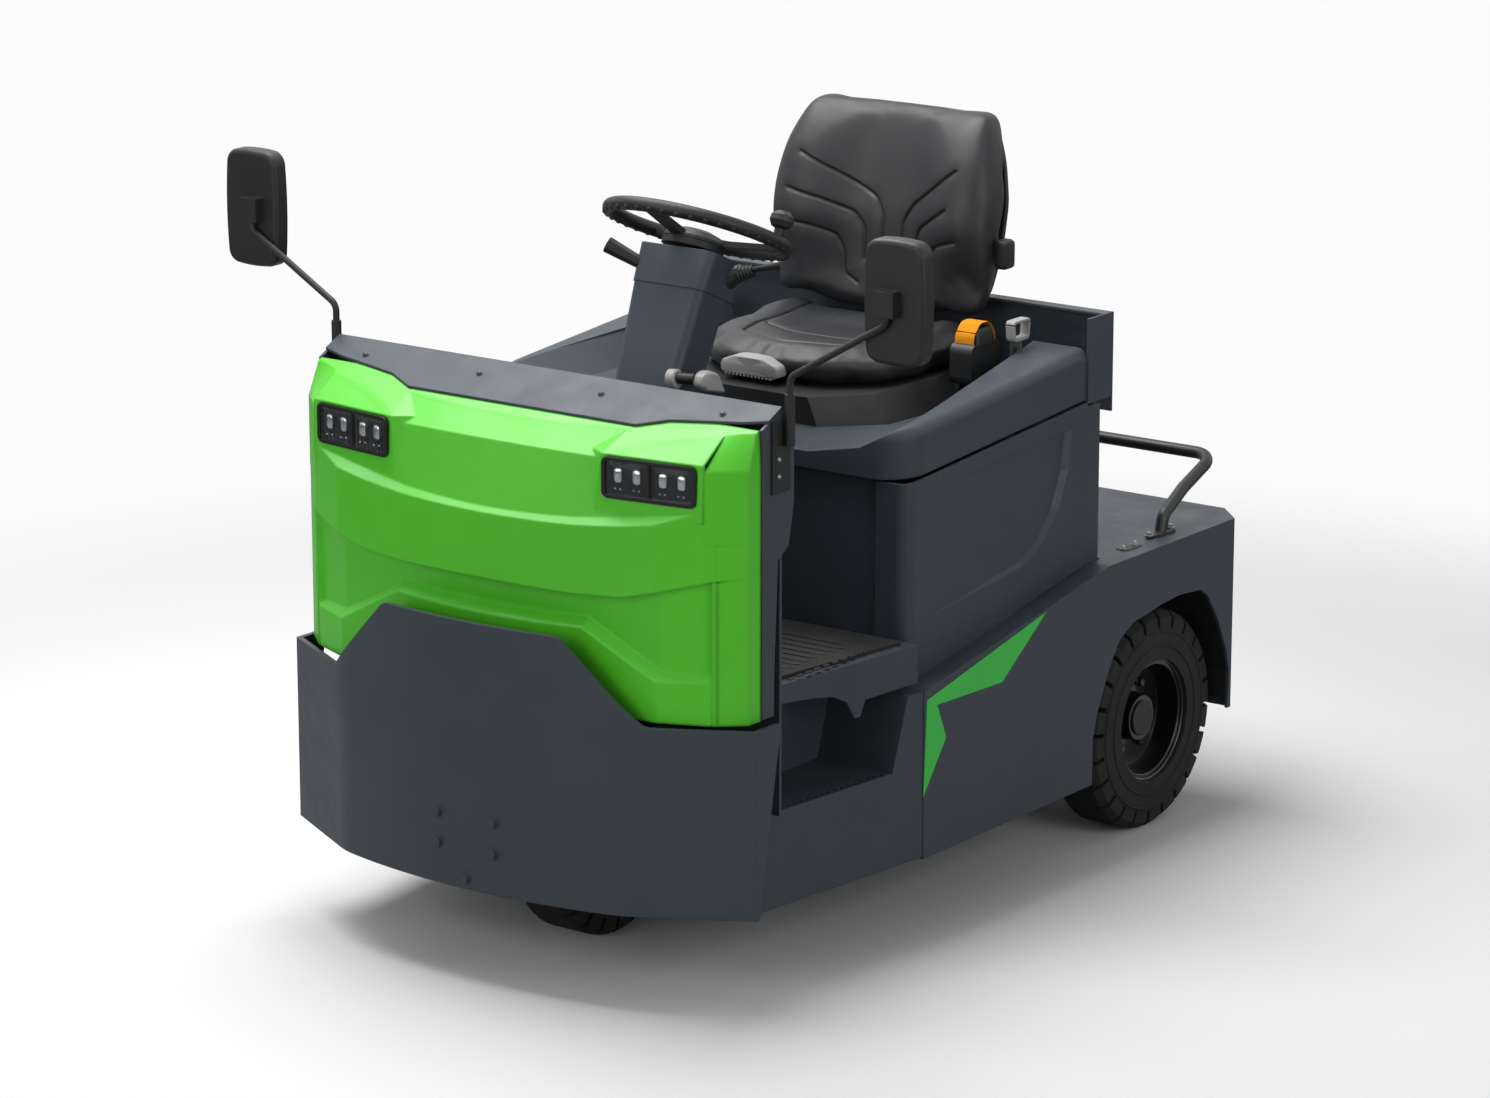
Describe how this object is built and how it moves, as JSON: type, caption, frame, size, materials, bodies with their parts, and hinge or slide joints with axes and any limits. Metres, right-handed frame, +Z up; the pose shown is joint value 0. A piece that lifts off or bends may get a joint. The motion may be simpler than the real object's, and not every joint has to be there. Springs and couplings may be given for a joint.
{
  "type": "electric tow tractor",
  "caption": "Three-wheeled sit-down electric tow tractor with a green front cover, seat over the battery, rear load deck, handrail and rear tow coupling.",
  "frame": {"origin": "on the floor, under the middle of the whole tractor's box", "axes": "+Z up, -Y is the way it drives, +X is the driver's left"},
  "size_m": [1.538, 1.857, 1.384],
  "materials": {
    "body_grey": "satin paint",
    "hood_grey": "fine-grained moulding",
    "cover_green": "gloss",
    "frame_black": "satin paint",
    "black_plastic": "moulded",
    "light_grey": "moulded",
    "lamp": "gloss",
    "mat_rubber": "ribbed",
    "battery_case": "satin",
    "seat_vinyl": "vinyl",
    "rim_black": "gloss",
    "tyre": "solid rubber",
    "zinc": "zinc plated"
  },
  "bodies": {
    "chassis": {"chassis_frame": "frame_black", "front_block": "frame_black", "bumper": "body_grey", "front_cover": "cover_green", "front_bulkhead": "body_grey", "dash_plate": "body_grey", "lamp_left": "lamp", "lamp_right": "lamp", "mirror_left": "black_plastic", "mirror_right": "black_plastic", "floor_plate": "body_grey", "floor_mat": "mat_rubber", "step_left": "body_grey", "step_right": "body_grey", "side_skirt_left": "body_grey", "side_skirt_right": "body_grey", "rear_panel": "body_grey", "rear_deck": "body_grey", "handrail": "frame_black", "battery_tray": "frame_black", "battery_body": "body_grey", "lower_back": "body_grey", "battery": "battery_case", "hood_hinge_left": "frame_black", "hood_hinge_right": "frame_black", "column_console": "body_grey", "pedals": "frame_black", "arch_liner_left": "black_plastic", "arch_liner_right": "black_plastic", "rear_axle": "frame_black", "tow_coupling": "frame_black"},
    "hood": {"hood": "hood_grey", "seat_base": "black_plastic", "seat_cushion": "seat_vinyl", "seat_back": "seat_vinyl", "belt_retractor": "black_plastic"},
    "column": {"column_housing": "hood_grey", "switch_stalk": "black_plastic", "travel_lever": "black_plastic", "tilt_lever": "light_grey"},
    "steering_wheel": {"steering_wheel": "black_plastic"},
    "fork": {"steering_fork": "frame_black"},
    "front_wheel": {"front_rim": "rim_black", "front_tyre": "tyre"},
    "rear_wheel_left": {"rear_rim_left": "rim_black", "rear_tyre_left": "tyre"},
    "rear_wheel_right": {"rear_rim_right": "rim_black", "rear_tyre_right": "tyre"},
    "tow_pin": {"tow_pin": "zinc"}
  },
  "joints": [
    {"name": "front_steer", "type": "hinge", "parent": "chassis", "child": "fork", "pos_m": [0, -0.5495, 0.484], "axis": [0, 0, 1], "range_deg": [-75, 75]},
    {"name": "front_wheel_spin", "type": "hinge", "parent": "fork", "child": "front_wheel", "pos_m": [0, -0.5495, 0.19], "axis": [1, 0, 0], "continuous": true},
    {"name": "rear_left_spin", "type": "hinge", "parent": "chassis", "child": "rear_wheel_left", "pos_m": [0.433, 0.5555, 0.212], "axis": [1, 0, 0], "continuous": true},
    {"name": "rear_right_spin", "type": "hinge", "parent": "chassis", "child": "rear_wheel_right", "pos_m": [-0.433, 0.5555, 0.212], "axis": [1, 0, 0], "continuous": true},
    {"name": "column_tilt", "type": "hinge", "parent": "chassis", "child": "column", "pos_m": [0, -0.38382, 0.92083], "axis": [1, 0, 0], "range_deg": [0, 15]},
    {"name": "steering_wheel_turn", "type": "hinge", "parent": "column", "child": "steering_wheel", "pos_m": [0, -0.2435, 1.236], "axis": [0, 0.4067, 0.9135], "range_deg": [-900, 900]},
    {"name": "hood_open", "type": "hinge", "parent": "chassis", "child": "hood", "pos_m": [0, 0.3995, 0.604], "axis": [-1, 0, 0], "range_deg": [0, 60]},
    {"name": "tow_pin_lift", "type": "slide", "parent": "chassis", "child": "tow_pin", "axis": [0, 0, 1], "range_m": [0, 0.24]}
  ],
  "couplings": [
    {"joint": "steering_wheel_turn", "follows": "front_steer", "ratio": 12}
  ]
}
